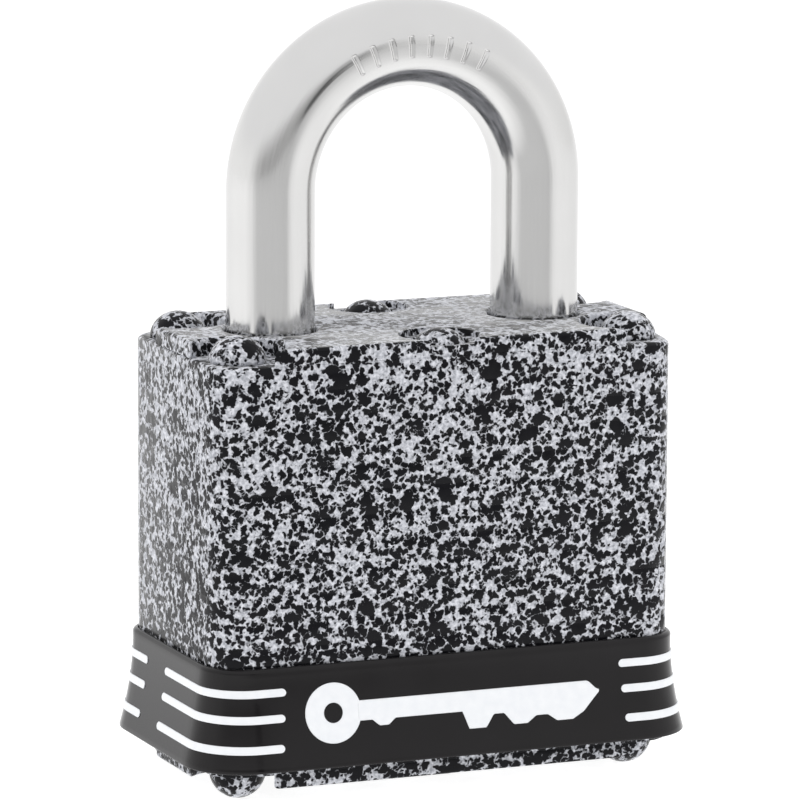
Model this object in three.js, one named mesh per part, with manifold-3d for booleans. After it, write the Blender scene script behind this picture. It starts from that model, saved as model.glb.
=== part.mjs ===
// Laminated steel padlock with a pin tumbler cylinder, two locking levers and a vinyl bumper.
// Millimetres, +Z up. X is the body's width, -Y its front, and z = 0 is the underside of the
// four domed rivet heads that the lock stands on. The lock is shown shut.
import * as THREE from 'three';
import { mergeVertices } from 'three/addons/utils/BufferGeometryUtils.js';
import Module from 'manifold-3d';

const wasm = await Module();
wasm.setup();

// ---- Driving dimensions ----
const BODY_W = 39.7;
const BODY_D = 20.4;
const BODY_R = 2.6;
const END_PLATE_T = 1.2;
const TOP_PLATE_T = 1.35;
const BOTTOM_PLATE_Z = 1.2;
const LAMINATION_T = 2.05;
const LAMINATIONS = 16;
const STACK_Z = BOTTOM_PLATE_Z + END_PLATE_T;
const TOP_PLATE_Z = STACK_Z + LAMINATIONS * LAMINATION_T;
const TOP_Z = TOP_PLATE_Z + TOP_PLATE_T;

const SHACKLE_R = 3.57;
const SHACKLE_X = 11.51;
const SHACKLE_CLEARANCE = 19.05;
const SHACKLE_LIFT = 12;
const ARCH_Z = TOP_Z + SHACKLE_CLEARANCE - (SHACKLE_X - SHACKLE_R);
const TOE_Z = 24.6;
const HEEL_Z = 7.3;
const NECK_R = 2.6;
const NECK_Z = [8.8, 23];
const NOTCH_Z = [26, 31.2];
const NOTCH_DEPTH = 0.9;

const RIVET_X = 16.9;
const RIVET_Y = 6.6;
const MIDDLE_RIVET_Y = 7.5;
const RIVET_R = 1.8;
const RIVET_HEAD_R = 2.3;
const RIVET_HEAD_H = 2.05;
const MIDDLE_HEAD_R = 2.2;
const MIDDLE_HEAD_H = 1.85;

const PLUG_R = 4.3;
const PLUG_FACE_R = 3.95;
const PLUG_TOP_Z = 22.9;
const SHELL_R = 5.2;
const SHELL_Z = [2.5, 22.8];
const TOWER_X = 9.7;
const TOWER_HALF = 2.2;
const PIN_R = 1.35;
const PIN_BORE_R = 1.45;
const PIN_PITCH = 3.94;
const FIRST_PIN_Z = 6.4;
const KEY_PIN_TIPS = [1.4, 0.7, 1.1, 1.7];
const SHEAR_X = 4.2;

const LEVER_Z = [29.2, 31];
const LEVER_TRAVEL = 3;
const LEVER_TIP_X = 8.69;
const CAM_Z = [26.4, 28.7];
const CAM_MIN = 1.6;
const LUG_GAP = 0.15;
const LUG_T = 1.3;

const BUMPER_Z = [3, 11.2];
const BUMPER_FIT = 0.15;

// ---- Finishes ----
const finish = (color, roughness, metalness) => () =>
  new THREE.MeshStandardMaterial({ color, roughness, metalness });
const speckledPaint = finish(0x77787d, 0.45, 0.2);
const polishedSteel = finish(0xd4d4d2, 0.2, 1);
const plainSteel = finish(0x8f9194, 0.4, 1);
const brass = finish(0xb5903f, 0.35, 1);
const springSteel = finish(0xa9abad, 0.3, 1);
const blackVinyl = finish(0x1d1c1e, 0.4, 0);

// ---- Closed solids ----
// Welds a geometry's shared vertices and drops the flat triangles at a lathe's poles.
function solid(geometry) {
  const bare = geometry.clone();
  bare.deleteAttribute('normal');
  bare.deleteAttribute('uv');
  const welded = mergeVertices(bare, 1e-5);
  const index = Array.from(welded.index.array);
  const triVerts = [];
  for (let i = 0; i < index.length; i += 3) {
    const [a, b, c] = index.slice(i, i + 3);
    if (a !== b && b !== c && c !== a) triVerts.push(a, b, c);
  }
  return new wasm.Manifold(new wasm.Mesh({
    numProp: 3,
    vertProperties: new Float32Array(welded.attributes.position.array),
    triVerts: new Uint32Array(triVerts),
  }));
}

function geometryOf(body) {
  const mesh = body.getMesh();
  const geometry = new THREE.BufferGeometry();
  geometry.setAttribute('position', new THREE.BufferAttribute(mesh.vertProperties, 3));
  geometry.setIndex(new THREE.BufferAttribute(mesh.triVerts, 1));
  geometry.computeVertexNormals();
  return geometry;
}

const cut = (body, ...tools) => tools.reduce((left, tool) => left.subtract(tool), body);

// ---- Outlines ----
// Points on an arc, both ends included; angles in degrees.
function arc(x, y, r, from, to, steps) {
  return Array.from({ length: steps + 1 }, (_, i) => {
    const a = THREE.MathUtils.degToRad(from + ((to - from) * i) / steps);
    return new THREE.Vector2(x + r * Math.cos(a), y + r * Math.sin(a));
  });
}

const ring = (x, y, r, sides, turn = 0) => arc(x, y, r, turn, 360 + turn, sides).slice(0, -1);

const point = (x, y) => new THREE.Vector2(x, y);

function box2(x0, y0, x1, y1) {
  return [point(x0, y0), point(x1, y0), point(x1, y1), point(x0, y1)];
}

function roundedRect(w, d, r, steps) {
  const x = w / 2 - r;
  const y = d / 2 - r;
  return [
    ...arc(x, y, r, 0, 90, steps),
    ...arc(-x, y, r, 90, 180, steps),
    ...arc(-x, -y, r, 180, 270, steps),
    ...arc(x, -y, r, 270, 360, steps),
  ];
}

// The same outline turned half a turn about Z.
const halfTurn = (points) => points.map((p) => point(-p.x, -p.y));

// Extrudes an outline, with holes, from z0 to z1.
function slab(outline, z0, z1, holes = []) {
  const shape = new THREE.Shape(outline);
  shape.holes = holes.map((hole) => new THREE.Path(hole));
  return new THREE.ExtrudeGeometry(shape, { depth: z1 - z0, bevelEnabled: false }).translate(0, 0, z0);
}

// Turns a profile of (radius, height) points about the Z axis.
function turned(profile, sides) {
  const points = profile.map(([r, z]) => point(r, z));
  return new THREE.LatheGeometry(points, sides).rotateX(Math.PI / 2);
}

// Lays a piece turned about Z along +X, its foot at x = 0.
const alongX = (geometry) => geometry.rotateY(Math.PI / 2);

// ---- Scene graph ----
const padlock = new THREE.Group();

function add(name, geometry, material, parent = padlock) {
  const mesh = new THREE.Mesh(geometry, material());
  mesh.name = name;
  parent.add(mesh);
  return mesh;
}

// ---- Laminations ----
// Sixteen punched plates. The lower ten hold the cylinder, the next three the cam, one the
// levers and one the lever springs. The long heel leg passes through all of them.
const bodyOutline = roundedRect(BODY_W, BODY_D, BODY_R, 4);
const rivetSpots = [-RIVET_X, 0, RIVET_X].flatMap((x) => {
  const y = x === 0 ? MIDDLE_RIVET_Y : RIVET_Y;
  return [[x, -y], [x, y]];
});
const rivetHoles = rivetSpots.map(([x, y]) => ring(x, y, 2.03, 8, 22.5));
const SHACKLE_HOLE_R = SHACKLE_R + 0.25;
const heelHole = ring(-SHACKLE_X, 0, SHACKLE_HOLE_R, 16);
const toeHole = ring(SHACKLE_X, 0, SHACKLE_HOLE_R, 16);

// Round around the plug, with a straight-sided arm towards +X for the pin tower.
function cylinderOutline(r, half, reach, steps) {
  const bend = THREE.MathUtils.radToDeg(Math.asin(half / r));
  return [...arc(0, 0, r, bend, 360 - bend, steps), point(reach, -half), point(reach, half)];
}

const cylinderHole = cylinderOutline(SHELL_R + 0.15, TOWER_HALF + 0.15, TOWER_X + 0.75, 14);
const CAM_CAVITY = [6.9, 5.3];
const camHole = box2(-CAM_CAVITY[0], -CAM_CAVITY[1], CAM_CAVITY[0], CAM_CAVITY[1]);
const leverChannel = box2(-9, -4.75, -6.5, -0.15);
const leverSpringPocket = box2(-5.8, -3.5, 5.1, -1.3);
const retainingPinSlot = box2(-16.25, -4.2, -14.05, 4.2);

function laminationHoles(number) {
  if (number <= 10) return [heelHole, cylinderHole];
  if (number <= 14) return [heelHole, toeHole, camHole];
  if (number === 15) return [heelHole, toeHole, leverSpringPocket, halfTurn(leverSpringPocket)];
  return [heelHole, toeHole];
}

// Cuts that run into another hole, so they are taken out of the finished plate.
const laminationCuts = {
  10: [retainingPinSlot],
  14: [leverChannel, halfTurn(leverChannel)],
};

for (let number = 1; number <= LAMINATIONS; number += 1) {
  const z0 = STACK_Z + (number - 1) * LAMINATION_T;
  const z1 = z0 + LAMINATION_T;
  const plate = slab(bodyOutline, z0, z1, [...laminationHoles(number), ...rivetHoles]);
  const cuts = (laminationCuts[number] ?? []).map((outline) => solid(slab(outline, z0 - 1, z1 + 1)));
  const name = `lamination_${String(number).padStart(2, '0')}`;
  add(name, geometryOf(cut(solid(plate), ...cuts)), speckledPaint);
}

// ---- End plates ----
// Each is cut away round the corner rivets' heads, which sit down on the plate next to it. The top
// one has a hole and a shallow dish, open to the edge, for each middle rivet's head.
const NOTCH_R = 4;
const halfW = BODY_W / 2;
const halfD = BODY_D / 2;
const NOTCH_SIDE = THREE.MathUtils.radToDeg(Math.acos((halfW - RIVET_X) / NOTCH_R));
const NOTCH_FACE = THREE.MathUtils.radToDeg(Math.asin((halfD - RIVET_Y) / NOTCH_R));
const NOTCH_STEPS = 9;

function notchedOutline() {
  const corner = arc(RIVET_X, RIVET_Y, NOTCH_R, -NOTCH_SIDE, -180 - NOTCH_FACE, NOTCH_STEPS);
  const mirrored = corner.map((p) => point(-p.x, p.y)).reverse();
  const back = [...corner, ...mirrored];
  return [...back, ...halfTurn(back)];
}

const legHoles = [-SHACKLE_X, SHACKLE_X].map((x) => ring(x, 0, SHACKLE_HOLE_R, 20));
const headHoles = [-MIDDLE_RIVET_Y, MIDDLE_RIVET_Y].map((y) => ring(0, y, 2.45, 16));
const HEAD_DISH = [3.3, 0.5];
const headDishes = [-MIDDLE_RIVET_Y, MIDDLE_RIVET_Y].map((y) =>
  solid(slab(ring(0, y, HEAD_DISH[0], 24), TOP_Z - HEAD_DISH[1], TOP_Z + 1)));
const topPlate = slab(notchedOutline(), TOP_PLATE_Z, TOP_Z, [...legHoles, ...headHoles]);
add('top_plate', geometryOf(cut(solid(topPlate), ...headDishes)), speckledPaint);

const COUNTERBORE = [2.4, 0.5];
const bottomHoles = [
  ring(0, 0, PLUG_FACE_R + 0.12, 24),
  ring(0, -MIDDLE_RIVET_Y, 2.03, 8, 22.5),
  ring(0, MIDDLE_RIVET_Y, 2.03, 8, 22.5),
];
const counterbores = [-MIDDLE_RIVET_Y, MIDDLE_RIVET_Y].map((y) =>
  solid(slab(ring(0, y, COUNTERBORE[0], 12), 0, BOTTOM_PLATE_Z + COUNTERBORE[1])));
const bottomPlate = slab(notchedOutline(), BOTTOM_PLATE_Z, STACK_Z, bottomHoles);
add('bottom_plate', geometryOf(cut(solid(bottomPlate), ...counterbores)), speckledPaint);

// ---- Rivets ----
// Domed above. The four at the corners are domed below too and are the lock's feet; the two in
// the middle end in a flat head that is flush with the bottom plate and holds it on.
const HEAD_SEAT = 0.05;
const DOME_STEPS = 4;

// A dome of radius r and height h, from its rim up to the pole.
function dome(r, z, h) {
  return Array.from({ length: DOME_STEPS + 1 }, (_, i) => {
    const a = (Math.PI / 2) * (i / DOME_STEPS);
    return [r * Math.cos(a), z + h * Math.sin(a)];
  });
}

function rivetProfile(isCorner) {
  const headZ = TOP_PLATE_Z + HEAD_SEAT;
  const head = isCorner ? [RIVET_HEAD_R, RIVET_HEAD_H] : [MIDDLE_HEAD_R, MIDDLE_HEAD_H];
  const top = [[RIVET_R, headZ], ...dome(head[0], headZ, head[1])];
  const footZ = STACK_Z - HEAD_SEAT;
  const domedFoot = dome(RIVET_HEAD_R, footZ, -footZ).reverse();
  const flatZ = BOTTOM_PLATE_Z + COUNTERBORE[1] - HEAD_SEAT;
  const flatFoot = [[0, BOTTOM_PLATE_Z], [2.25, BOTTOM_PLATE_Z], [2.25, flatZ], [RIVET_R, flatZ]];
  return isCorner ? [...domedFoot, [RIVET_R, footZ], ...top] : [...flatFoot, ...top];
}

const sideNames = { [-RIVET_X]: 'left', 0: 'middle', [RIVET_X]: 'right' };
for (const [x, y] of rivetSpots) {
  const name = `rivet_${y < 0 ? 'front' : 'back'}_${sideNames[x]}`;
  add(name, geometryOf(solid(turned(rivetProfile(x !== 0), 12))), speckledPaint).position.set(x, y, 0);
}

// ---- Shackle ----
// A bent round bar: a long heel leg on the left, with a turned neck and a foot collar that keep
// it in the lock, and a short toe leg on the right. Each leg has a flat notch for its lever.
const ARCH_STEPS = 24;

class ShacklePath extends THREE.Curve {
  getPoint(t, target = new THREE.Vector3()) {
    const step = t * (ARCH_STEPS + 2);
    if (step < 1) return target.set(-SHACKLE_X, 0, THREE.MathUtils.lerp(HEEL_Z, ARCH_Z, step));
    if (step > ARCH_STEPS + 1) {
      return target.set(SHACKLE_X, 0, THREE.MathUtils.lerp(ARCH_Z, TOE_Z, step - ARCH_STEPS - 1));
    }
    const a = Math.PI * (1 - (step - 1) / ARCH_STEPS);
    return target.set(SHACKLE_X * Math.cos(a), 0, ARCH_Z + SHACKLE_X * Math.sin(a));
  }
  getPointAt(u, target) {
    return this.getPoint(u, target);
  }
  getTangentAt(u, target) {
    return this.getTangent(u, target);
  }
}

const bar = new THREE.ExtrudeGeometry(new THREE.Shape(ring(0, 0, SHACKLE_R, 16)), {
  steps: ARCH_STEPS + 2,
  extrudePath: new ShacklePath(),
});
const neckWaste = turned([
  [NECK_R, NECK_Z[0]], [5, NECK_Z[0]], [5, NECK_Z[1]], [NECK_R, NECK_Z[1]], [NECK_R, NECK_Z[0]],
], 16).translate(-SHACKLE_X, 0, 0);
const NOTCH_FACE_X = SHACKLE_X - SHACKLE_R + NOTCH_DEPTH;
const notchWaste = [-1, 1].map((side) => {
  const height = NOTCH_Z[1] - NOTCH_Z[0];
  const block = new THREE.BoxGeometry(4, 9, height);
  return block.translate(side * (NOTCH_FACE_X - 2), 0, NOTCH_Z[0] + height / 2);
});
const shackle = cut(solid(bar), solid(neckWaste), ...notchWaste.map(solid));
add('shackle', geometryOf(shackle), polishedSteel);

// A cross dowel beside the neck, which stops the foot collar at full lift.
const DOWEL_R = 0.95;
const dowelZ = STACK_Z + 9.5 * LAMINATION_T;
const dowel = new THREE.CylinderGeometry(DOWEL_R, DOWEL_R, 8, 12);
add('shackle_retaining_pin', geometryOf(solid(dowel)), plainSteel)
  .position.set(-SHACKLE_X - NECK_R - 0.1 - DOWEL_R, 0, dowelZ);

// ---- Springs ----
class Helix extends THREE.Curve {
  constructor(radius, length, turns) {
    super();
    Object.assign(this, { radius, length, turns });
  }
  getPoint(t, target = new THREE.Vector3()) {
    const a = 2 * Math.PI * this.turns * t;
    return target.set(this.radius * Math.cos(a), this.radius * Math.sin(a), this.length * t);
  }
}

// A compression spring that stands on z = 0, with its outside radius and overall length.
function spring(outerR, length, wireR, turns, stepsPerTurn, sides) {
  const helix = new Helix(outerR - wireR, length - 2 * wireR, turns);
  const wire = new THREE.Shape(ring(0, 0, wireR, sides));
  return new THREE.ExtrudeGeometry(wire, {
    steps: Math.round(turns * stepsPerTurn),
    extrudePath: helix,
  }).translate(0, 0, wireR);
}

add('shackle_spring', geometryOf(solid(spring(3, HEEL_Z - STACK_Z - 0.3, 0.32, 5, 10, 5))), springSteel)
  .position.set(-SHACKLE_X, 0, STACK_Z + 0.15);

// ---- Cylinder ----
const pinHeights = KEY_PIN_TIPS.map((_, i) => FIRST_PIN_Z + i * PIN_PITCH);

// A radial bore along X at each pin's height.
function pinBores(x0, x1) {
  return pinHeights.map((z) => {
    const bore = new THREE.CylinderGeometry(PIN_BORE_R, PIN_BORE_R, x1 - x0, 12);
    return solid(bore.rotateZ(Math.PI / 2).translate((x0 + x1) / 2, 0, z));
  });
}

const shellOutline = cylinderOutline(SHELL_R, TOWER_HALF, TOWER_X, 16);
const shell = slab(shellOutline, SHELL_Z[0], SHELL_Z[1], [ring(0, 0, PLUG_R + 0.1, 24)]);
add('cylinder_housing', geometryOf(cut(solid(shell), ...pinBores(3, TOWER_X + 1))), brass);

add('pin_chamber_cap', new THREE.BoxGeometry(0.5, 3.8, 18.6).translate(TOWER_X + 0.3, 0, 12.4), plainSteel);

// The plug: a keyway open on its far side, four pin bores, a groove for the clip and a flat tail
// that drives the cam.
const PLUG_FOOT_Z = 1.4;
const CLIP_Z = [23, 23.5];
const GROOVE_R = 2.9;
const LAND_R = 3.6;
const LAND_Z = [23.6, 24.3];
const TAIL = [1.4, 5, 27.6];
const plugBody = solid(turned([
  [0, PLUG_FOOT_Z], [PLUG_FACE_R, PLUG_FOOT_Z], [PLUG_FACE_R, SHELL_Z[0] + 0.1],
  [PLUG_R, SHELL_Z[0] + 0.1], [PLUG_R, PLUG_TOP_Z], [GROOVE_R, PLUG_TOP_Z],
  [GROOVE_R, LAND_Z[0]], [LAND_R, LAND_Z[0]], [LAND_R, LAND_Z[1]], [0, LAND_Z[1]],
], 24));
const tailHeight = TAIL[2] - LAND_Z[1] + 0.5;
const tail = solid(new THREE.BoxGeometry(TAIL[0], TAIL[1], tailHeight)
  .translate(0, 0, TAIL[2] - tailHeight / 2));
const KEYWAY_TOP_Z = 21;
const keyway = [box2(-5, -0.55, -0.4, 0.95), box2(-0.9, -0.95, 2.4, 0.55)]
  .map((outline) => solid(slab(outline, 0, KEYWAY_TOP_Z)));

// Everything that turns with the key.
const turning = new THREE.Group();
padlock.add(turning);
add('plug', geometryOf(cut(plugBody.add(tail), ...keyway, ...pinBores(-0.9, 5))), brass, turning);

const clipOutline = [...arc(0, 0, 5, 35, 325, 14), ...arc(0, 0, GROOVE_R + 0.1, 325, 35, 12)];
add('plug_retaining_clip', slab(clipOutline, CLIP_Z[0], CLIP_Z[1]), springSteel, turning);

// ---- Cam ----
// Its reach towards each lever's lug grows evenly as it turns, from CAM_MIN by LEVER_TRAVEL over
// a quarter turn, so each flank is an involute: reach times the normal plus the rate times the
// tangent.
function camOutline() {
  const rate = LEVER_TRAVEL / (Math.PI / 2);
  const flank = Array.from({ length: 9 }, (_, i) => {
    const a = (Math.PI / 2) * (i / 8);
    const reach = CAM_MIN + rate * a;
    const x = reach * Math.cos(a) - rate * Math.sin(a);
    const y = -reach * Math.sin(a) - rate * Math.cos(a);
    return point(x, y);
  });
  const half = [...flank.reverse(), point(CAM_MIN - 0.15, 0)];
  return [...half, ...halfTurn(half)];
}

const camPlate = solid(slab(camOutline(), CAM_Z[0], CAM_Z[1]));
const camHub = solid(turned([[0, 24.5], [LAND_R, 24.5], [LAND_R, CAM_Z[0] + 0.2], [0, CAM_Z[0] + 0.2]], 20));
const camSlot = solid(new THREE.BoxGeometry(TAIL[0] + 0.2, TAIL[1] + 0.2, 12).translate(0, 0, 26));
add('cam', geometryOf(camPlate.add(camHub).subtract(camSlot)), plainSteel, turning);

// ---- Pins ----
// Drawn where the right key would lift them: each key pin ends just inside the plug's surface,
// so that the plug can turn, and each driver pin starts just outside it.
const DRIVER_X = [4.4, 7.2];
const pinSprings = [DRIVER_X[1] + 0.05, TOWER_X];

pinHeights.forEach((z, i) => {
  const length = SHEAR_X - KEY_PIN_TIPS[i];
  const keyPin = turned([
    [0, 0], [0.5, 0], [PIN_R, 0.85], [PIN_R, length - 0.15], [1, length], [0, length],
  ], 12);
  add(`key_pin_${i + 1}`, geometryOf(solid(alongX(keyPin))), brass, turning)
    .position.set(KEY_PIN_TIPS[i], 0, z);
  const reach = DRIVER_X[1] - DRIVER_X[0];
  const driver = turned([
    [0, 0], [1.2, 0], [PIN_R, 0.15], [PIN_R, reach - 0.15], [1.2, reach], [0, reach],
  ], 12);
  add(`driver_pin_${i + 1}`, geometryOf(solid(alongX(driver))), springSteel)
    .position.set(DRIVER_X[0], 0, z);
  const coil = alongX(spring(1.25, pinSprings[1] - pinSprings[0], 0.14, 4, 7, 4));
  add(`pin_spring_${i + 1}`, geometryOf(solid(coil)), springSteel).position.set(pinSprings[0], 0, z);
});

// ---- Locking levers ----
// Each lever reaches from its leg's notch, past the cam, to a lug hanging on the cam's far side.
// The cam pushes the lug outwards, which draws the tip in; a spring on the tab pushes it back.
const LUG_X = CAM_MIN + LUG_GAP;
const TAB_X = [-5.6, -4.8];
const SPRING_LANE_Y = -2.4;
const leverOutline = [
  point(-LEVER_TIP_X, -0.3), point(-LEVER_TIP_X, -2.4), point(-LEVER_TIP_X + 0.5, -2.9),
  point(-7.5, -2.9), point(-6.4, -4.6), point(LUG_X + LUG_T, -4.6), point(LUG_X + LUG_T, -0.3),
];
const JOIN = 0.3;
const leverParts = [
  slab(leverOutline, LEVER_Z[0], LEVER_Z[1]),
  slab(box2(LUG_X, -4, LUG_X + LUG_T, -0.8), CAM_Z[0] + 0.2, LEVER_Z[0] + JOIN),
  slab(box2(TAB_X[0], -3.3, TAB_X[1], -1.5), LEVER_Z[1] - JOIN, 32.9),
];
const lever = leverParts.map(solid).reduce((whole, part) => whole.add(part));
const leverSpring = alongX(spring(0.85, 9.5, 0.14, 8, 6, 4));
for (const side of ['left', 'right']) {
  const pair = new THREE.Group();
  pair.rotation.z = side === 'left' ? 0 : Math.PI;
  padlock.add(pair);
  add(`locking_lever_${side}`, geometryOf(lever), plainSteel, pair);
  add(`lever_spring_${side}`, geometryOf(solid(leverSpring)), springSteel, pair)
    .position.set(TAB_X[1] + 0.15, SPRING_LANE_Y, 32.1);
}

// ---- Bumper ----
// A moulded skirt around the foot of the body. Its inside fits the plates; its outside flares
// outwards and its corners grow rounder towards the foot.
const CORNER_STEPS = 6;
const BUMPER_OFFSET = [0.55, 1.8];
const BUMPER_CORNER = [3.4, 5];
const FLARE = 1.7;
const FLARE_STEPS = 5;

// One level of the skirt's outside, t from 0 at the top to 1 at the foot.
function bumperLevel(t, inset = 0) {
  const offset = THREE.MathUtils.lerp(BUMPER_OFFSET[0], BUMPER_OFFSET[1], t ** FLARE) - inset;
  const r = THREE.MathUtils.lerp(BUMPER_CORNER[0], BUMPER_CORNER[1], t);
  const z = THREE.MathUtils.lerp(BUMPER_Z[1], BUMPER_Z[0], t);
  return { outline: roundedRect(BODY_W + 2 * offset, BODY_D + 2 * offset, r, CORNER_STEPS), z };
}

const inside = roundedRect(BODY_W + 2 * BUMPER_FIT, BODY_D + 2 * BUMPER_FIT, BODY_R + BUMPER_FIT, CORNER_STEPS);
const bumperLevels = [
  { outline: inside, z: BUMPER_Z[1] },
  { ...bumperLevel(0, 0.15), z: BUMPER_Z[1] },
  { ...bumperLevel(0), z: BUMPER_Z[1] - 0.15 },
  ...Array.from({ length: FLARE_STEPS }, (_, i) => bumperLevel((i + 1) / FLARE_STEPS)),
  { outline: inside, z: BUMPER_Z[0] },
];

// Joins a closed loop of outlines, each to the next, into one ring-shaped skin.
function skin(levels) {
  const count = levels[0].outline.length;
  const positions = levels.flatMap(({ outline, z }) => outline.flatMap((p) => [p.x, p.y, z]));
  const index = [];
  levels.forEach((_, row) => {
    const next = (row + 1) % levels.length;
    for (let i = 0; i < count; i += 1) {
      const j = (i + 1) % count;
      const [a, b, c, d] = [row * count + i, row * count + j, next * count + j, next * count + i];
      index.push(a, d, c, a, c, b);
    }
  });
  const geometry = new THREE.BufferGeometry();
  geometry.setAttribute('position', new THREE.Float32BufferAttribute(positions, 3));
  geometry.setIndex(index);
  return geometry;
}

add('bumper', geometryOf(solid(skin(bumperLevels))), blackVinyl);

export default padlock;
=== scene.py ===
"""Laminated steel padlock in speckled paint, with a bright steel shackle and a vinyl bumper.

Metres, +Z up. X is the lock's width, -Y its front and z = 0 the underside of its four feet.
"""
import math

import bmesh
import bpy
import numpy as np
from mathutils import Matrix, Vector


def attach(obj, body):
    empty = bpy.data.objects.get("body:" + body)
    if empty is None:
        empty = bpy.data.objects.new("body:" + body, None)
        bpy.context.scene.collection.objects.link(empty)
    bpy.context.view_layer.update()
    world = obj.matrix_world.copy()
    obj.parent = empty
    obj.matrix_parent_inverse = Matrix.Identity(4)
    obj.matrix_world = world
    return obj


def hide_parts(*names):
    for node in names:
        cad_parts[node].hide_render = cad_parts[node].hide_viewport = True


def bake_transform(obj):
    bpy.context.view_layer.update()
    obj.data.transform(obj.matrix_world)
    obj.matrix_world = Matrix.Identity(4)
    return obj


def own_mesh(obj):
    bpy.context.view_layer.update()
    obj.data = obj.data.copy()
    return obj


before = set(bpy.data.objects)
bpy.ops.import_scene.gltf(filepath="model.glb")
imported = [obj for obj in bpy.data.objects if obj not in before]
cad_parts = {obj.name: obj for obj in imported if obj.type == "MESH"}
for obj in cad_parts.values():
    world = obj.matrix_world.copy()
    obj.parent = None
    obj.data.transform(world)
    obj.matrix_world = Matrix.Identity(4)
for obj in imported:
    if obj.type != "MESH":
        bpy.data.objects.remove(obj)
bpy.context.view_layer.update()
MM = 0.001


# ---- Camera ----
# A long lens a little to the lock's left and just above it, level with the middle of the lock.
VIEW_AZIMUTH, VIEW_ELEVATION, VIEW_ROLL = (math.radians(a) for a in (-22.73, 9.985, 0.26))
VIEW_DISTANCE = 500 * MM
VIEW_TARGET = Vector((-0.2, 0.08, 29.99)) * MM

away = Vector((
    math.sin(VIEW_AZIMUTH) * math.cos(VIEW_ELEVATION),
    -math.cos(VIEW_AZIMUTH) * math.cos(VIEW_ELEVATION),
    math.sin(VIEW_ELEVATION),
))
camera_data = bpy.data.cameras.new("camera")
camera_data.lens = 278
camera_data.sensor_width = 36
camera_data.clip_start = 0.01
camera = bpy.data.objects.new("camera", camera_data)
bpy.context.scene.collection.objects.link(camera)
turn = (-away).to_track_quat("-Z", "Y").to_matrix() @ Matrix.Rotation(VIEW_ROLL, 3, "Z")
camera.matrix_world = Matrix.Translation(VIEW_TARGET + away * VIEW_DISTANCE) @ turn.to_4x4()
bpy.context.scene.camera = camera
bpy.context.scene.view_settings.view_transform = "Standard"


# ---- Speckled paint ----
# Black enamel with silver sprayed over it, on every plate and rivet. The silver has drawn back
# into a lacy net that stands a little proud, open round small holes and larger black islands.
def new_material(name, metallic=0.0, roughness=0.5):
    """An empty node material with one Principled shader; returns the material and its parts."""
    material = bpy.data.materials.new(name)
    material.use_nodes = True
    tree = material.node_tree
    shader = tree.nodes["Principled BSDF"]
    shader.inputs["Metallic"].default_value = metallic
    shader.inputs["Roughness"].default_value = roughness
    return material, tree, shader


def add_node(tree, kind, values=None, **settings):
    """Adds a node, sets its attributes, then its sockets: a number sets one, a socket feeds it."""
    node = tree.nodes.new(kind)
    for key, value in settings.items():
        setattr(node, key, value)
    for key, value in (values or {}).items():
        if isinstance(value, bpy.types.NodeSocket):
            tree.links.new(value, node.inputs[key])
        else:
            node.inputs[key].default_value = value
    return node


def place_of(tree):
    """The point's place on the lock, in metres."""
    return add_node(tree, "ShaderNodeTexCoord").outputs["Object"]


def noise(tree, place, grain_mm, detail=2.0):
    """Fractal noise, 0 to 1, with one grain per grain_mm."""
    values = {"Vector": place, "Scale": 1 / (grain_mm * MM), "Detail": detail}
    return add_node(tree, "ShaderNodeTexNoise", values).outputs["Fac"]


def maths(tree, operation, a, b):
    """One step of arithmetic on two numbers or sockets."""
    return add_node(tree, "ShaderNodeMath", {0: a, 1: b}, operation=operation).outputs[0]


def ramp(tree, value, low, high, to_low=0.0, to_high=1.0):
    """Straight from to_low at low up to to_high at high, and level beyond them."""
    values = {"Value": value, "From Min": low, "From Max": high, "To Min": to_low, "To Max": to_high}
    return add_node(tree, "ShaderNodeMapRange", values, clamp=True).outputs["Result"]


def blend_colour(tree, share, first, second):
    """The first colour where share is 0, the second where it is 1."""
    node = add_node(tree, "ShaderNodeMix", {"Factor": share}, data_type="RGBA")
    for socket, value in ((node.inputs[6], first), (node.inputs[7], second)):
        if isinstance(value, bpy.types.NodeSocket):
            tree.links.new(value, socket)
        else:
            socket.default_value = (*value, 1)
    return node.outputs[2]


def bump(tree, height, distance_mm):
    """A normal tilted by a height map that is distance_mm deep."""
    values = {"Height": height, "Distance": distance_mm * MM}
    return add_node(tree, "ShaderNodeBump", values).outputs["Normal"]


PAINT_BLACK = (0.006, 0.006, 0.0075)
PAINT_SILVER = (0.30, 0.31, 0.34)
PAINT_PALE = (0.69, 0.70, 0.745)
SMALL_HOLES, LARGE_HOLES = 0.52, 1.6
SMALL_HOLE_R, LARGE_HOLE_R = (0.19, 0.375), (0.15, 0.72)
HOLE_RAGGEDNESS = 0.75


def holes_near(tree, place, spacing_mm):
    """Distance in millimetres to the nearest of a scatter of holes in the silver."""
    values = {"Vector": place, "Scale": 1 / (spacing_mm * MM)}
    nearest = add_node(tree, "ShaderNodeTexVoronoi", values).outputs["Distance"]
    return maths(tree, "MULTIPLY", nearest, spacing_mm)


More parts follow.
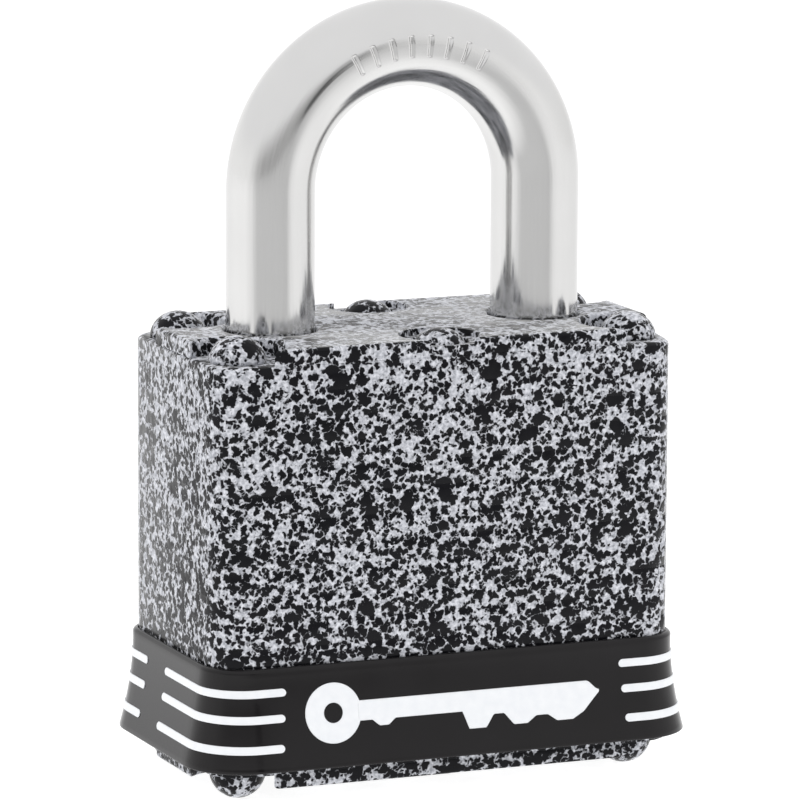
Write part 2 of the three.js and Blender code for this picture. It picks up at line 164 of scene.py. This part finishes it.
def make_paint():
    """A silver lace over black: small holes crowd it, and larger ones break it up.

    A point is silver where it is further from the nearest hole of each size than that hole's
    radius, which coarse noise varies.
    """
    material, tree, shader = new_material("speckled_paint")
    place = place_of(tree)
    ragged = add_node(tree, "ShaderNodeTexNoise",
                      {"Vector": place, "Scale": 1 / (0.4 * MM), "Detail": 1.0})
    shift = add_node(tree, "ShaderNodeVectorMath", {0: ragged.outputs["Color"], 1: (0.5, 0.5, 0.5)},
                     operation="SUBTRACT")
    shift = add_node(tree, "ShaderNodeVectorMath", {0: shift.outputs[0], "Scale": HOLE_RAGGEDNESS * MM},
                     operation="SCALE")
    spot = add_node(tree, "ShaderNodeVectorMath", {0: place, 1: shift.outputs[0]}).outputs[0]
    height = ramp(tree, add_node(tree, "ShaderNodeSeparateXYZ", {0: place}).outputs["Z"],
                  9 * MM, 36 * MM, 0.03, -0.03)
    thin = noise(tree, place, 1.5, detail=2.0)
    small_r = maths(tree, "ADD", ramp(tree, thin, 0.25, 0.75, *SMALL_HOLE_R), height)
    small = maths(tree, "SUBTRACT", holes_near(tree, spot, SMALL_HOLES), small_r)
    large_r = ramp(tree, noise(tree, place, 3.0, detail=1.0), 0.3, 0.7, *LARGE_HOLE_R)
    large = maths(tree, "SUBTRACT", holes_near(tree, spot, LARGE_HOLES), large_r)
    silver = ramp(tree, maths(tree, "MINIMUM", small, large), -0.035, 0.045)
    flecks = noise(tree, place, 0.3, detail=2.0)
    tint = blend_colour(tree, ramp(tree, flecks, 0.32, 0.68), PAINT_SILVER, PAINT_PALE)
    tree.links.new(blend_colour(tree, silver, PAINT_BLACK, tint), shader.inputs["Base Color"])
    tree.links.new(ramp(tree, silver, 0, 1, 0.22, 0.45), shader.inputs["Roughness"])
    orange_peel = noise(tree, place, 1.1, detail=1.0)
    relief = maths(tree, "ADD", silver, maths(tree, "MULTIPLY", orange_peel, 2.5))
    tree.links.new(bump(tree, relief, 0.03), shader.inputs["Normal"])
    shader.inputs["Specular IOR Level"].default_value = 0.1
    shader.inputs["Sheen Weight"].default_value = 0.68
    shader.inputs["Sheen Roughness"].default_value = 0.24
    return material


paint = make_paint()


def finish_piece(piece, material, slot, body, *nodes):
    """Gives a piece its material and its body, and hides the CAD nodes that it stands for."""
    piece.data.materials.clear()
    piece.data.materials.append(material)
    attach(piece, body)
    if nodes:
        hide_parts(*nodes)
    return piece


# ---- Laminations and end plates ----
# Sixteen punched steel plates between two thinner end plates, stacked and riveted, then painted
# as one, so the paint bridges the seams and only a hairline shows between plates.
def rounded_copy(name, node, rounding, segments=2):
    """A copy of a CAD node, its loose triangles joined, with its sharp edges rounded.

    `rounding` takes the x, y and z of the edges' middles in millimetres, as arrays, and gives the
    width of the rounding on each.
    """
    work = bmesh.new()
    work.from_mesh(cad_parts[node].data)
    bmesh.ops.remove_doubles(work, verts=work.verts, dist=0.0005 * MM)
    bmesh.ops.dissolve_limit(work, angle_limit=math.radians(0.5), verts=work.verts, edges=work.edges)
    weight = work.edges.layers.float.new("bevel_weight_edge")
    sharp = [edge for edge in work.edges if edge.calc_face_angle(0) > math.radians(40)]
    middles = np.array([(edge.verts[0].co + edge.verts[1].co) / 2 for edge in sharp]) / MM
    widths = rounding(*middles.T) + 0 * middles[:, 0]
    for edge, share in zip(sharp, widths / widths.max()):
        edge[weight] = share
    mesh = bpy.data.meshes.new(name)
    work.to_mesh(mesh)
    work.free()
    mesh.shade_smooth()
    piece = bpy.data.objects.new(name, mesh)
    bpy.context.scene.collection.objects.link(piece)
    bevel = piece.modifiers.new("edges", "BEVEL")
    bevel.width = widths.max() * MM
    bevel.segments = segments
    bevel.limit_method = "WEIGHT"
    bevel.use_clamp_overlap = False
    bevel.harden_normals = True
    return piece


BODY_W, BODY_D, BODY_R = 39.7, 20.4, 2.6
SEAM_EDGE = 0.015
SHOULDER_EDGE = 0.45


def shoulder(x, y, z):
    """The topmost lamination is rounded over round its four upper corners."""
    corner = (np.abs(x) > BODY_W / 2 - BODY_R) & (np.abs(y) > BODY_D / 2 - BODY_R)
    return np.where(corner & (z > 35.1), SHOULDER_EDGE, SEAM_EDGE)


for number in range(1, 17):
    node = f"lamination_{number:02d}"
    edges = shoulder if number == 16 else lambda x, y, z: SEAM_EDGE
    plate = rounded_copy(f"painted_{node}", node, edges, 3 if number == 16 else 2)
    finish_piece(plate, paint, "speckled_paint", "body", node)


def top_plate_edges(x, y, z):
    """Soft along the top, finer round the middle rivets' dishes, and sharp at the seam below."""
    dish = (np.abs(x) < 3.7) & (np.abs(y) > 3.9)
    return np.where(dish, 0.06, np.where(z > 36.3, 0.32, SEAM_EDGE))


def bottom_plate_edges(x, y, z):
    """Soft along the underside's outline, finer round its holes, and sharp at the seam above."""
    hole = np.hypot(x, y) < 5
    hole |= np.hypot(x, np.abs(y) - 7.5) < 2.6
    return np.where(hole, 0.08, np.where(z < 1.5, 0.28, SEAM_EDGE))


for node, edges in (("top_plate", top_plate_edges), ("bottom_plate", bottom_plate_edges)):
    plate = rounded_copy(f"painted_{node}", node, edges, 3)
    finish_piece(plate, paint, "speckled_paint", "body", node)


# ---- Rivets ----
# Six steel rivets hold the stack. Their domed heads sit in the top plate's scallops; the corner
# four are domed below too and are the feet, and the middle two end flush with the bottom plate.
def grid_mesh(name, points, close_rows=False, close_columns=False, caps=False):
    """A mesh of quads over a grid of points; columns run round the piece, rows along it.

    Caps close the first and last row with one face each.
    """
    rows, columns = points.shape[:2]
    index = np.arange(rows * columns).reshape(rows, columns)
    below = index if close_rows else index[:-1]
    above = np.roll(index, -1, 0) if close_rows else index[1:]
    right = lambda block: np.roll(block, -1, 1)
    quads = np.stack([below, right(below), right(above), above], -1)
    if not close_columns:
        quads = quads[:, :-1]
    faces = [tuple(face) for face in quads.reshape(-1, 4).tolist()]
    if caps:
        faces += [tuple(index[0][::-1].tolist()), tuple(index[-1].tolist())]
    mesh = bpy.data.meshes.new(name)
    mesh.from_pydata(points.reshape(-1, 3).tolist(), [], faces)
    mesh.validate()
    mesh.shade_smooth()
    piece = bpy.data.objects.new(name, mesh)
    bpy.context.scene.collection.objects.link(piece)
    return piece


def turned_piece(name, profile, centre, sides=48):
    """Turns a profile of (radius, height) about a vertical axis: (r cos a, r sin a, z)."""
    radius, height = np.array(profile).T
    angle = np.linspace(0, 2 * math.pi, sides, endpoint=False)
    points = np.stack([
        centre[0] + radius[:, None] * np.cos(angle),
        centre[1] + radius[:, None] * np.sin(angle),
        np.repeat(height[:, None], sides, 1),
    ], -1)
    return grid_mesh(name, points * MM, close_columns=True, caps=True)


def dome_profile(rim_r, rim_z, height, steps=12):
    """A quarter ellipse from the rim up (or down) to just short of the pole."""
    angle = np.linspace(0, math.pi / 2 * 0.97, steps)
    return np.stack([rim_r * np.cos(angle), rim_z + height * np.sin(angle)], 1)


RIVET_SHANK_R = 1.8
RIVET_HEAD_Z = 35.25
CORNER_HEAD, MIDDLE_HEAD = (2.3, 2.05), (2.2, 1.85)
RIVET_FOOT = (2.35, -2.35)
CORNER_RIVET = (16.9, 6.6)
MIDDLE_RIVET_Y = 7.5
foot = dome_profile(CORNER_HEAD[0], *RIVET_FOOT)[::-1]
neck = [(RIVET_SHANK_R, RIVET_FOOT[0]), (RIVET_SHANK_R, RIVET_HEAD_Z)]
flat_foot = [(2.05, 1.2), (2.25, 1.3), (2.25, 1.65), (RIVET_SHANK_R, 1.65),
             (RIVET_SHANK_R, RIVET_HEAD_Z)]
for side, way_x in (("left", -1), ("middle", 0), ("right", 1)):
    for face, way_y in (("front", -1), ("back", 1)):
        is_middle = side == "middle"
        start = flat_foot if is_middle else [*foot, *neck]
        head_r, head_h = MIDDLE_HEAD if is_middle else CORNER_HEAD
        head = dome_profile(head_r, RIVET_HEAD_Z, head_h)
        centre = (way_x * CORNER_RIVET[0], way_y * (MIDDLE_RIVET_Y if is_middle else CORNER_RIVET[1]))
        node = f"rivet_{face}_{side}"
        rivet = turned_piece(f"painted_{node}", np.vstack([start, head]), centre)
        finish_piece(rivet, paint, "speckled_paint", "body", node)


# ---- Shackle ----
# One hardened steel bar bent into a U, nickel bright. The long heel leg has a turned neck and a
# foot collar, each leg a notch for its lever, and the crown a row of strokes struck into it.
SHACKLE_R = 3.57
SHACKLE_X = 11.51
ARCH_Z = 47.66
HEEL_Z, TOE_Z = 7.3, 24.6
NECK_R, NECK_Z = 2.6, (8.8, 23.0)
NOTCH_Z, NOTCH_X = (26.0, 31.2), 8.84
STROKES = 8
STROKE_PITCH = 1.6
STROKE_WIDTH = 0.3
STROKE_HEIGHT = 1.7
STROKE_DEPTH = 0.13


def smooth_step(value):
    """0 below 0, 1 above 1, and an S between."""
    value = np.clip(value, 0, 1)
    return value * value * (3 - 2 * value)


def shackle_stations():
    """Path length from the heel's foot, bar radius there, and whether a notch is cut there."""
    legs = ARCH_Z - HEEL_Z
    step = 0.02
    heel = [(0, 3.1, 0), (0.12, 3.4, 0), (0.35, SHACKLE_R, 0), (1.35, SHACKLE_R, 0),
            (1.5, SHACKLE_R - 0.12, 0), (1.5 + step, NECK_R, 0)]
    heel += [(z - HEEL_Z, NECK_R, 0) for z in np.linspace(9.5, NECK_Z[1] - 0.3, 6)]
    heel += [(NECK_Z[1] - HEEL_Z - step, NECK_R, 0), (NECK_Z[1] - HEEL_Z, SHACKLE_R - 0.12, 0),
             (NECK_Z[1] - HEEL_Z + 0.15, SHACKLE_R, 0)]
    cut = [(NOTCH_Z[0] - HEEL_Z - step, SHACKLE_R, 0), (NOTCH_Z[0] - HEEL_Z, SHACKLE_R, 1),
           (28.6 - HEEL_Z, SHACKLE_R, 1),
           (NOTCH_Z[1] - HEEL_Z, SHACKLE_R, 1), (NOTCH_Z[1] - HEEL_Z + step, SHACKLE_R, 0)]
    plain = [(z - HEEL_Z, SHACKLE_R, 0) for z in np.linspace(32.5, ARCH_Z - 0.6, 14)]
    arch_length = math.pi * SHACKLE_X
    arch = [(legs + s, SHACKLE_R, 0) for s in np.concatenate([
        np.linspace(0, arch_length * 0.33, 30),
        np.linspace(arch_length * 0.335, arch_length * 0.665, 170),
        np.linspace(arch_length * 0.67, arch_length, 30),
    ])]
    far = 2 * legs + arch_length
    toe = [(far - s, r, n) for s, r, n in reversed(plain)]
    toe += [(far - s, r, n) for s, r, n in reversed(cut)]
    end = far - (TOE_Z - HEEL_Z)
    toe += [(end - 0.5, SHACKLE_R, 0), (end - 0.2, SHACKLE_R - 0.1, 0), (end - 0.05, SHACKLE_R - 0.3, 0),
            (end, SHACKLE_R - 0.6, 0)]
    return np.array(heel + cut + plain + arch + toe)


def make_shackle():
    """A circle of radius r(s) carried along the U.

    On a leg the centre is (-X, 0, z) or (X, 0, z); on the arch it is X (cos t, 0, sin t). The
    circle's own axes are outwards from the U's middle and towards the front. Where a notch is
    cut, x is held back to the notch's flat. A stroke lowers the radius in a slot-shaped patch.
    """
    s, radius, notch = shackle_stations().T
    legs = ARCH_Z - HEEL_Z
    turn = np.clip((s - legs) / SHACKLE_X, 0, math.pi)
    down = np.where(s > legs, -np.maximum(s - legs - math.pi * SHACKLE_X, 0), s - legs)
    out = np.stack([-np.cos(turn), np.zeros_like(s), np.sin(turn)], 1)
    centre = out * SHACKLE_X + np.stack([0 * s, 0 * s, ARCH_Z + down], 1)
    front = np.linspace(-0.42, 0.42, 60)
    rest = np.linspace(0.42, 2 * math.pi - 0.42, 90)[1:-1]
    angle = np.concatenate([front, rest])
    around = angle[None, :]
    along = (s - legs - math.pi * SHACKLE_X / 2)[:, None]
    cell = along / STROKE_PITCH + STROKES / 2
    within = np.abs((cell - np.floor(cell) - 0.5) * STROKE_PITCH)
    counted = (cell > 0) & (cell < STROKES)
    wrapped = np.where(around > math.pi, around - 2 * math.pi, around)
    across = np.abs(wrapped) * SHACKLE_R
    slot = smooth_step((STROKE_WIDTH / 2 + 0.06 - within) / 0.12)
    slot = slot * smooth_step((STROKE_HEIGHT / 2 + 0.06 - across) / 0.12) * counted
    r = radius[:, None] - STROKE_DEPTH * slot
    points = (centre[:, None] + out[:, None] * (r * np.sin(around))[..., None]
              + np.array([0, -1.0, 0]) * (r * np.cos(around))[..., None])
    is_cut = notch[:, None] > 0
    inside = np.where(points[..., 0] < 0, np.minimum(points[..., 0], -NOTCH_X),
                      np.maximum(points[..., 0], NOTCH_X))
    points[..., 0] = np.where(is_cut, inside, points[..., 0])
    piece = grid_mesh("shackle_bar", points[::-1] * MM, close_columns=True, caps=True)
    bar = np.stack([r * np.cos(around), r * np.sin(around), s[:, None] + 0 * around], -1)[::-1]
    place = piece.data.attributes.new("bar_place", "FLOAT_VECTOR", "POINT")
    place.data.foreach_set("vector", (bar * MM).astype(np.float32).ravel())
    return piece


def make_bright_steel():
    """Polished plate with fine lines drawn along the bar and faint clouding."""
    material, tree, shader = new_material("bright_steel", metallic=1.0)
    place = add_node(tree, "ShaderNodeAttribute", attribute_name="bar_place").outputs["Vector"]
    lengthwise = add_node(tree, "ShaderNodeMapping", {"Vector": place, "Scale": (1, 1, 0.035)})
    lines = noise(tree, lengthwise.outputs[0], 0.16, detail=2.0)
    clouds = noise(tree, place, 3.5, detail=3.0)
    colour = blend_colour(tree, clouds, (0.585, 0.582, 0.576), (0.635, 0.632, 0.626))
    tree.links.new(colour, shader.inputs["Base Color"])
    rough = maths(tree, "ADD", ramp(tree, lines, 0.3, 0.7, 0.09, 0.17),
                  ramp(tree, clouds, 0.3, 0.7, 0.0, 0.05))
    tree.links.new(rough, shader.inputs["Roughness"])
    tree.links.new(bump(tree, lines, 0.004), shader.inputs["Normal"])
    return material


bright_steel = make_bright_steel()
finish_piece(make_shackle(), bright_steel, "shackle_steel", "shackle", "shackle")


# ---- Bumper ----
# A moulded black vinyl collar pushed over the foot of the stack. It flares towards the foot, and
# its top edge is rounded and stands clear of the paint by a hair.
BUMPER_Z = (3.0, 11.2)
BUMPER_FIT = 0.15


def bumper_stand_out(z):
    """How far the outer wall stands out at height z: 0.55 at the top, 1.8 at the foot."""
    fall = np.clip((BUMPER_Z[1] - z) / (BUMPER_Z[1] - BUMPER_Z[0]), 0, 1)
    return 0.55 + 1.25 * fall ** 1.7


def bumper_corner(z):
    """The outer wall's corner radius at height z: 3.4 at the top, 5 at the foot."""
    fall = np.clip((BUMPER_Z[1] - z) / (BUMPER_Z[1] - BUMPER_Z[0]), 0, 1)
    return 3.4 + 1.6 * fall


def rounded_rectangle(out, radius, straights=16, bends=14):
    """Points round the body's outline moved out by `out`, for arrays of out and radius.

    Each of the four quarters is an arc of `bends` steps and then a straight of `straights`.
    """
    out, radius = np.asarray(out)[..., None], np.asarray(radius)[..., None]
    half_w, half_d = BODY_W / 2 + out, BODY_D / 2 + out
    xs, ys = [], []
    share = np.linspace(0, 1, straights, endpoint=False)[1:]
    for quarter in range(4):
        a = (quarter + np.linspace(0, 1, bends + 1)) * math.pi / 2
        sx = 1 if quarter in (0, 3) else -1
        sy = 1 if quarter in (0, 1) else -1
        xs.append(sx * (half_w - radius) + radius * np.cos(a))
        ys.append(sy * (half_d - radius) + radius * np.sin(a))
        nx = -sx if quarter in (0, 2) else sx
        ny = sy if quarter in (0, 2) else -sy
        end_x = nx * (half_w - radius) + radius * math.cos((quarter + 1) * math.pi / 2)
        end_y = ny * (half_d - radius) + radius * math.sin((quarter + 1) * math.pi / 2)
        xs.append(xs[-1][..., -1:] * (1 - share) + end_x * share)
        ys.append(ys[-1][..., -1:] * (1 - share) + end_y * share)
    return np.concatenate(xs, -1), np.concatenate(ys, -1)


def make_bumper():
    """The outline swept round a closed wall section: up the outside, over the top, down inside."""
    rim, foot = 0.4, 0.14
    outer_z = np.linspace(BUMPER_Z[0] + foot, BUMPER_Z[1] - rim, 24)
    outer = [(bumper_stand_out(z), z, bumper_corner(z)) for z in outer_z]
    turns = np.linspace(0, math.pi / 2, 7)[1:]
    top_out = bumper_stand_out(BUMPER_Z[1]) - (1 - np.cos(turns)) * 0.33
    top = [(o, BUMPER_Z[1] - rim + rim * math.sin(t), 3.4) for o, t in zip(top_out, turns)]
    inner = [(BUMPER_FIT, BUMPER_Z[1] - 0.08, BODY_R + BUMPER_FIT),
             (BUMPER_FIT, BUMPER_Z[0], BODY_R + BUMPER_FIT)]
    base = bumper_stand_out(BUMPER_Z[0])
    bottom = [(base - foot, BUMPER_Z[0], 5.0 - foot), (base - foot * 0.3, BUMPER_Z[0] + foot * 0.3, 5.0)]
    out, z, radius = np.array(outer + top + inner + bottom).T
    x, y = rounded_rectangle(out, radius)
    points = np.stack([x, y, np.repeat(z[:, None], x.shape[1], 1)], -1)
    return grid_mesh("vinyl_bumper", points * MM, close_rows=True, close_columns=True)


def make_vinyl():
    """Satin black vinyl with a fine moulded grain."""
    material, tree, shader = new_material("black_vinyl")
    place = place_of(tree)
    clouds = noise(tree, place, 4.0, detail=3.0)
    colour = blend_colour(tree, clouds, (0.006, 0.0052, 0.0056), (0.010, 0.009, 0.0098))
    tree.links.new(colour, shader.inputs["Base Color"])
    grain = noise(tree, place, 0.25, detail=2.0)
    tree.links.new(ramp(tree, clouds, 0.3, 0.7, 0.10, 0.16), shader.inputs["Roughness"])
    tree.links.new(bump(tree, grain, 0.003), shader.inputs["Normal"])
    shader.inputs["Specular IOR Level"].default_value = 0.22
    shader.inputs["Sheen Weight"].default_value = 0.06
    shader.inputs["Sheen Roughness"].default_value = 0.15
    return material


vinyl = make_vinyl()
finish_piece(make_bumper(), vinyl, "black_vinyl", "body", "bumper")


# ---- Printing on the bumper ----
# Thick white ink: three stripes round each corner, and a plain key in the middle of the front.
INK_PROUD, INK_BURIED = 0.07, 0.05
STRIPE_WIDTH = 0.64
STRIPE_DROPS = (0.238, 0.488, 0.774)


def make_ink():
    """White screen ink, faintly blue, with a little unevenness."""
    material, tree, shader = new_material("white_print")
    place = place_of(tree)
    clouds = noise(tree, place, 0.8, detail=3.0)
    colour = blend_colour(tree, clouds, (0.70, 0.72, 0.75), (0.82, 0.83, 0.84))
    tree.links.new(colour, shader.inputs["Base Color"])
    tree.links.new(ramp(tree, clouds, 0.3, 0.7, 0.35, 0.5), shader.inputs["Roughness"])
    tree.links.new(bump(tree, noise(tree, place, 0.3), 0.005), shader.inputs["Normal"])
    return material


ink = make_ink()


def pillow_section():
    """A closed flat section of unit width: (-1..1 across, 0 or 1 proud) with rounded shoulders."""
    across = np.array([-1, -0.97, -0.8, -0.35, 0.35, 0.8, 0.97, 1, 0.98, 0.3, -0.3, -0.98])
    proud = np.array([0.35, 0.8, 1, 1, 1, 1, 0.8, 0.35, -0.7, -0.7, -0.7, -0.7])
    return across, proud


def stripe_points(start_x, end_y, drop):
    """A stripe along the outer wall from the front, round the left front corner, to the side.

    Its middle is at one height all the way; its width falls to nothing at both ends along a
    half circle. Each cross-section is the flat ink section, laid on the wall's slope.
    """
    z = BUMPER_Z[1] - drop * (BUMPER_Z[1] - BUMPER_Z[0])
    half = STRIPE_WIDTH / 2
    across, proud = pillow_section()
    out, radius = bumper_stand_out(z), bumper_corner(z)
    bend_x, bend_y = BODY_W / 2 + out - radius, BODY_D / 2 + out - radius
    front_run, arc_run, side_run = bend_x + start_x, radius * math.pi / 2, bend_y + end_y
    total = front_run + arc_run + side_run
    ends = half * (1 - np.cos(np.linspace(0.02, math.pi / 2, 7)))
    s = np.concatenate([ends, np.linspace(half, total - half, 70)[1:-1], (total - ends)[::-1]])
    near_end = np.clip(np.minimum(s, total - s) / half, 0, 1)
    half_width = half * np.sqrt(1 - (1 - near_end) ** 2)
    zz = z + across[None, :] * half_width[:, None]
    out, radius = bumper_stand_out(zz), bumper_corner(zz)
    bend_x, bend_y = BODY_W / 2 + out - radius, BODY_D / 2 + out - radius
    radius = radius + np.where(proud > 0, INK_PROUD, INK_BURIED) * proud
    angle = np.clip((s - front_run) / arc_run, 0, 1)[:, None] * math.pi / 2
    on_front = np.maximum(front_run - s, 0)[:, None]
    on_side = np.maximum(s - front_run - arc_run, 0)[:, None]
    x = -bend_x - radius * np.sin(angle) + on_front
    y = -bend_y - radius * np.cos(angle) + on_side
    return np.stack([x, y, zz], -1)


STRIPE_ENDS = (14.45, 14.6, 14.8)
SIDE_ENDS = {"front": 0.05, "back": -4.1}
for side_name, sx in (("left", -1), ("right", 1)):
    for face_name, sy in (("front", -1), ("back", 1)):
        for row, drop, end_x in zip(("top", "middle", "low"), STRIPE_DROPS, STRIPE_ENDS):
            points = stripe_points(-end_x, SIDE_ENDS[face_name], drop)
            points = points * np.array([-sx, -sy, 1])
            if sx * sy > 0:
                points = points[::-1]
            stripe = grid_mesh(f"stripe_{face_name}_{side_name}_{row}", points * MM,
                               close_columns=True, caps=True)
            finish_piece(stripe, ink, "white_print", "body")

KEY_Z = 7.3
KEY_BOW_X = -10.5
KEY_BOW_R, KEY_EYE_R = 2.4, 0.8
KEY_TIP_X = 12.6
KEY_SHAFT = 0.8
KEY_CUT_X = [-8, -7.2, -6.6, -5.8, -5.2, 0.6, 1.1, 2.6, 3.3, 4.2, 5.0, 6.2, 7.0, 8.0, 8.8, 10.2, 11.2, 12.6]
KEY_CUT_DROP = [0, 0, 0.5, 0.5, 0, 0, 1.4, 1.4, 0.4, 0.4, 1.35, 1.35, 0.8, 0.8, 1.35, 1.35, 0.8, -0.65]


def on_front_wall(x, z, proud):
    """A point on the bumper's front, lifted by the ink where proud is above 0."""
    lift = np.where(proud > 0, INK_PROUD, INK_BURIED) * proud
    return np.stack([x, -(BODY_D / 2 + bumper_stand_out(z) + lift), z], -1)


def make_key_bow():
    """A flat ring of ink between the eye and the rim: radius across, angle round."""
    across, proud = pillow_section()
    angle = np.linspace(0, 2 * math.pi, 72, endpoint=False)[:, None]
    radius = (KEY_BOW_R + KEY_EYE_R) / 2 + across[None, :] * (KEY_BOW_R - KEY_EYE_R) / 2
    x = KEY_BOW_X + radius * np.cos(angle)
    z = KEY_Z + radius * np.sin(angle)
    return grid_mesh("key_emblem_bow", on_front_wall(x, z, proud + 0 * x) * MM,
                     close_rows=True, close_columns=True)


def make_key_blade():
    """A flat bar of ink between an upper and a lower edge; the lower edge has the key's cuts."""
    across, proud = pillow_section()
    x = np.linspace(KEY_BOW_X + KEY_BOW_R - 0.3, KEY_TIP_X, 160)
    upper = KEY_Z + KEY_SHAFT - smooth_step((x - KEY_TIP_X + 1.1) / 1.1) * 0.75
    lower = KEY_Z - KEY_SHAFT - np.interp(x, KEY_CUT_X, KEY_CUT_DROP)
    middle, half = (upper + lower) / 2, (upper - lower) / 2
    z = middle[:, None] + across[None, :] * half[:, None]
    return grid_mesh("key_emblem_blade", on_front_wall(x[:, None] + 0 * z, z, proud + 0 * z) * MM,
                     close_columns=True, caps=True)


for emblem in (make_key_bow(), make_key_blade()):
    finish_piece(emblem, ink, "white_print", "body")


# ---- Cylinder and levers ----
# The brass works and the hardened levers inside the stack, as the CAD has them, each in a metal
# with its own tool marks. Only the plug's face shows, in the hole of the bottom plate.
def make_metal(name, dark, light, rough_low, rough_high, grain_mm, stretch):
    """Bare metal: clouded colour and fine marks stretched along one axis."""
    material, tree, shader = new_material(name, metallic=1.0)
    place = place_of(tree)
    clouds = noise(tree, place, 2.2, detail=4.0)
    marks = noise(tree, add_node(tree, "ShaderNodeMapping", {"Vector": place, "Scale": stretch}).outputs[0],
                  grain_mm, detail=3.0)
    tree.links.new(blend_colour(tree, clouds, dark, light), shader.inputs["Base Color"])
    tree.links.new(ramp(tree, marks, 0.3, 0.7, rough_low, rough_high), shader.inputs["Roughness"])
    tree.links.new(bump(tree, marks, 0.006), shader.inputs["Normal"])
    return material


brass = make_metal("turned_brass", (0.58, 0.40, 0.14), (0.72, 0.53, 0.22), 0.2, 0.38, 0.15, (1, 1, 0.1))
steel = make_metal("plain_steel", (0.40, 0.41, 0.42), (0.55, 0.56, 0.57), 0.28, 0.5, 0.2, (1, 0.15, 1))
spring_wire = make_metal("spring_wire", (0.50, 0.51, 0.52), (0.66, 0.67, 0.68), 0.2, 0.35, 0.1, (1, 1, 1))

plug = rounded_copy("plug_turned", "plug", lambda x, y, z: 0.05)
finish_piece(plug, brass, "brass", "plug", "plug")

METALS = {
    "brass": (brass, ["cylinder_housing", *[f"key_pin_{i}" for i in range(1, 5)],
                      *[f"driver_pin_{i}" for i in range(1, 5)]]),
    "plain_steel": (steel, ["pin_chamber_cap", "cam", "shackle_retaining_pin",
                            "locking_lever_left", "locking_lever_right"]),
    "spring_steel": (spring_wire, ["plug_retaining_clip"]),
}
for material, nodes in METALS.values():
    for node in nodes:
        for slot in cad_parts[node].material_slots:
            slot.material = material


# ---- Coil springs ----
# Wound steel wire, copied from the CAD. The pin and lever springs go with the body, and the one under the
# heel leg stays where the CAD has it.
def make_coil(node):
    """A copy of a CAD spring in spring wire."""
    coil = bpy.data.objects.new(f"coiled_{node}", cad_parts[node].data.copy())
    bpy.context.scene.collection.objects.link(coil)
    coil.data.materials.clear()
    coil.data.materials.append(spring_wire)
    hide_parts(node)
    return coil


for number in range(1, 5):
    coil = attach(make_coil(f"pin_spring_{number}"), "body")
    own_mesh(coil)
for side, push in (("left", 1), ("right", -1)):
    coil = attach(make_coil(f"lever_spring_{side}"), "body")
    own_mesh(coil)
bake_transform(make_coil("shackle_spring"))


# ---- Floor and light ----
# A pale floor that gives off light of its own, most near the lock, and a room lit all round. Both
# change with heading: they are dim in front, where the room also has a nearly black strip, which
# puts the dark bands on the bright steel. One broad light hangs overhead, unseen in reflections.
FLOOR_HALF = 3.0
FLOOR_GLOW_REACH = (45, 110)
FLOOR_BANDS = [(-180, 0.62), (-127, 0.80), (-89, 0.80), (-70, 0.60), (-58, 0.27), (6, 0.26), (18, 0.22),
               (28, 0.60), (40, 0.72), (75, 0.70), (110, 0.62), (179, 0.62)]
ROOM_BANDS = [(-180, 1.2), (-127, 1.25), (-80, 1.2), (-60, 0.70), (-45, 0.55), (-5, 0.50),
              (5, 0.50), (9, 0.03), (15, 0.03), (19, 0.9), (26, 1.1), (45, 1.25),
              (75, 1.15), (110, 1.05), (179, 1.2)]


def heading_bands(tree, place, bands):
    """A level that changes with the heading round the lock: 0 is the front, 90 the right."""
    parts = add_node(tree, "ShaderNodeSeparateXYZ", {0: place})
    heading = maths(tree, "ARCTAN2", parts.outputs["X"], maths(tree, "MULTIPLY", parts.outputs["Y"], -1.0))
    node = add_node(tree, "ShaderNodeValToRGB", {"Fac": ramp(tree, heading, -math.pi, math.pi)})
    stops = node.color_ramp.elements
    for azimuth, _ in bands[1:-1]:
        stops.new((azimuth + 180) / 360)
    for stop, (azimuth, level) in zip(sorted(stops, key=lambda e: e.position), bands):
        stop.color = (level, level, level, 1)
    return node.outputs["Color"], parts


def make_floor():
    """A flat sheet at z = 0 that glows evenly near the lock and by heading further out."""
    side = np.linspace(-FLOOR_HALF, FLOOR_HALF, 3)
    x, y = np.meshgrid(side, side)
    floor = grid_mesh("floor", np.stack([x, y, 0 * x], -1))
    material, tree, shader = new_material("pale_floor", roughness=0.9)
    shader.inputs["Base Color"].default_value = (0.45, 0.45, 0.45, 1)
    shader.inputs["Specular IOR Level"].default_value = 0.0
    place = place_of(tree)
    bands, _ = heading_bands(tree, place, FLOOR_BANDS)
    reach = add_node(tree, "ShaderNodeVectorMath", {0: place}, operation="LENGTH").outputs["Value"]
    glow = blend_colour(tree, ramp(tree, reach, *(r * MM for r in FLOOR_GLOW_REACH)),
                        (0.9, 0.9, 0.9), bands)
    tree.links.new(glow, shader.inputs["Emission Color"])
    shader.inputs["Emission Strength"].default_value = 1.0
    floor.data.materials.append(material)


make_floor()

world = bpy.data.worlds.new("white_room")
world.use_nodes = True
bpy.context.scene.world = world
tree = world.node_tree
bands, look = heading_bands(tree, add_node(tree, "ShaderNodeTexCoord").outputs["Generated"], ROOM_BANDS)
high = ramp(tree, look.outputs["Z"], 0.1, 0.3)
background = tree.nodes["Background"]
tree.links.new(blend_colour(tree, high, bands, (1.12, 1.12, 1.13)), background.inputs["Color"])
background.inputs["Strength"].default_value = 1.0

LAMP_PLACE = Vector((-0.1, -0.1, 0.7))
top_light = bpy.data.lights.new("overhead", "AREA")
top_light.shape = "RECTANGLE"
top_light.size, top_light.size_y = 0.9, 0.9
top_light.energy = 1.2
top_lamp = bpy.data.objects.new("overhead", top_light)
top_lamp.visible_glossy = False
top_lamp.location = LAMP_PLACE
top_lamp.rotation_euler = LAMP_PLACE.to_track_quat("Z", "Y").to_euler()
bpy.context.scene.collection.objects.link(top_lamp)

bpy.context.view_layer.update()
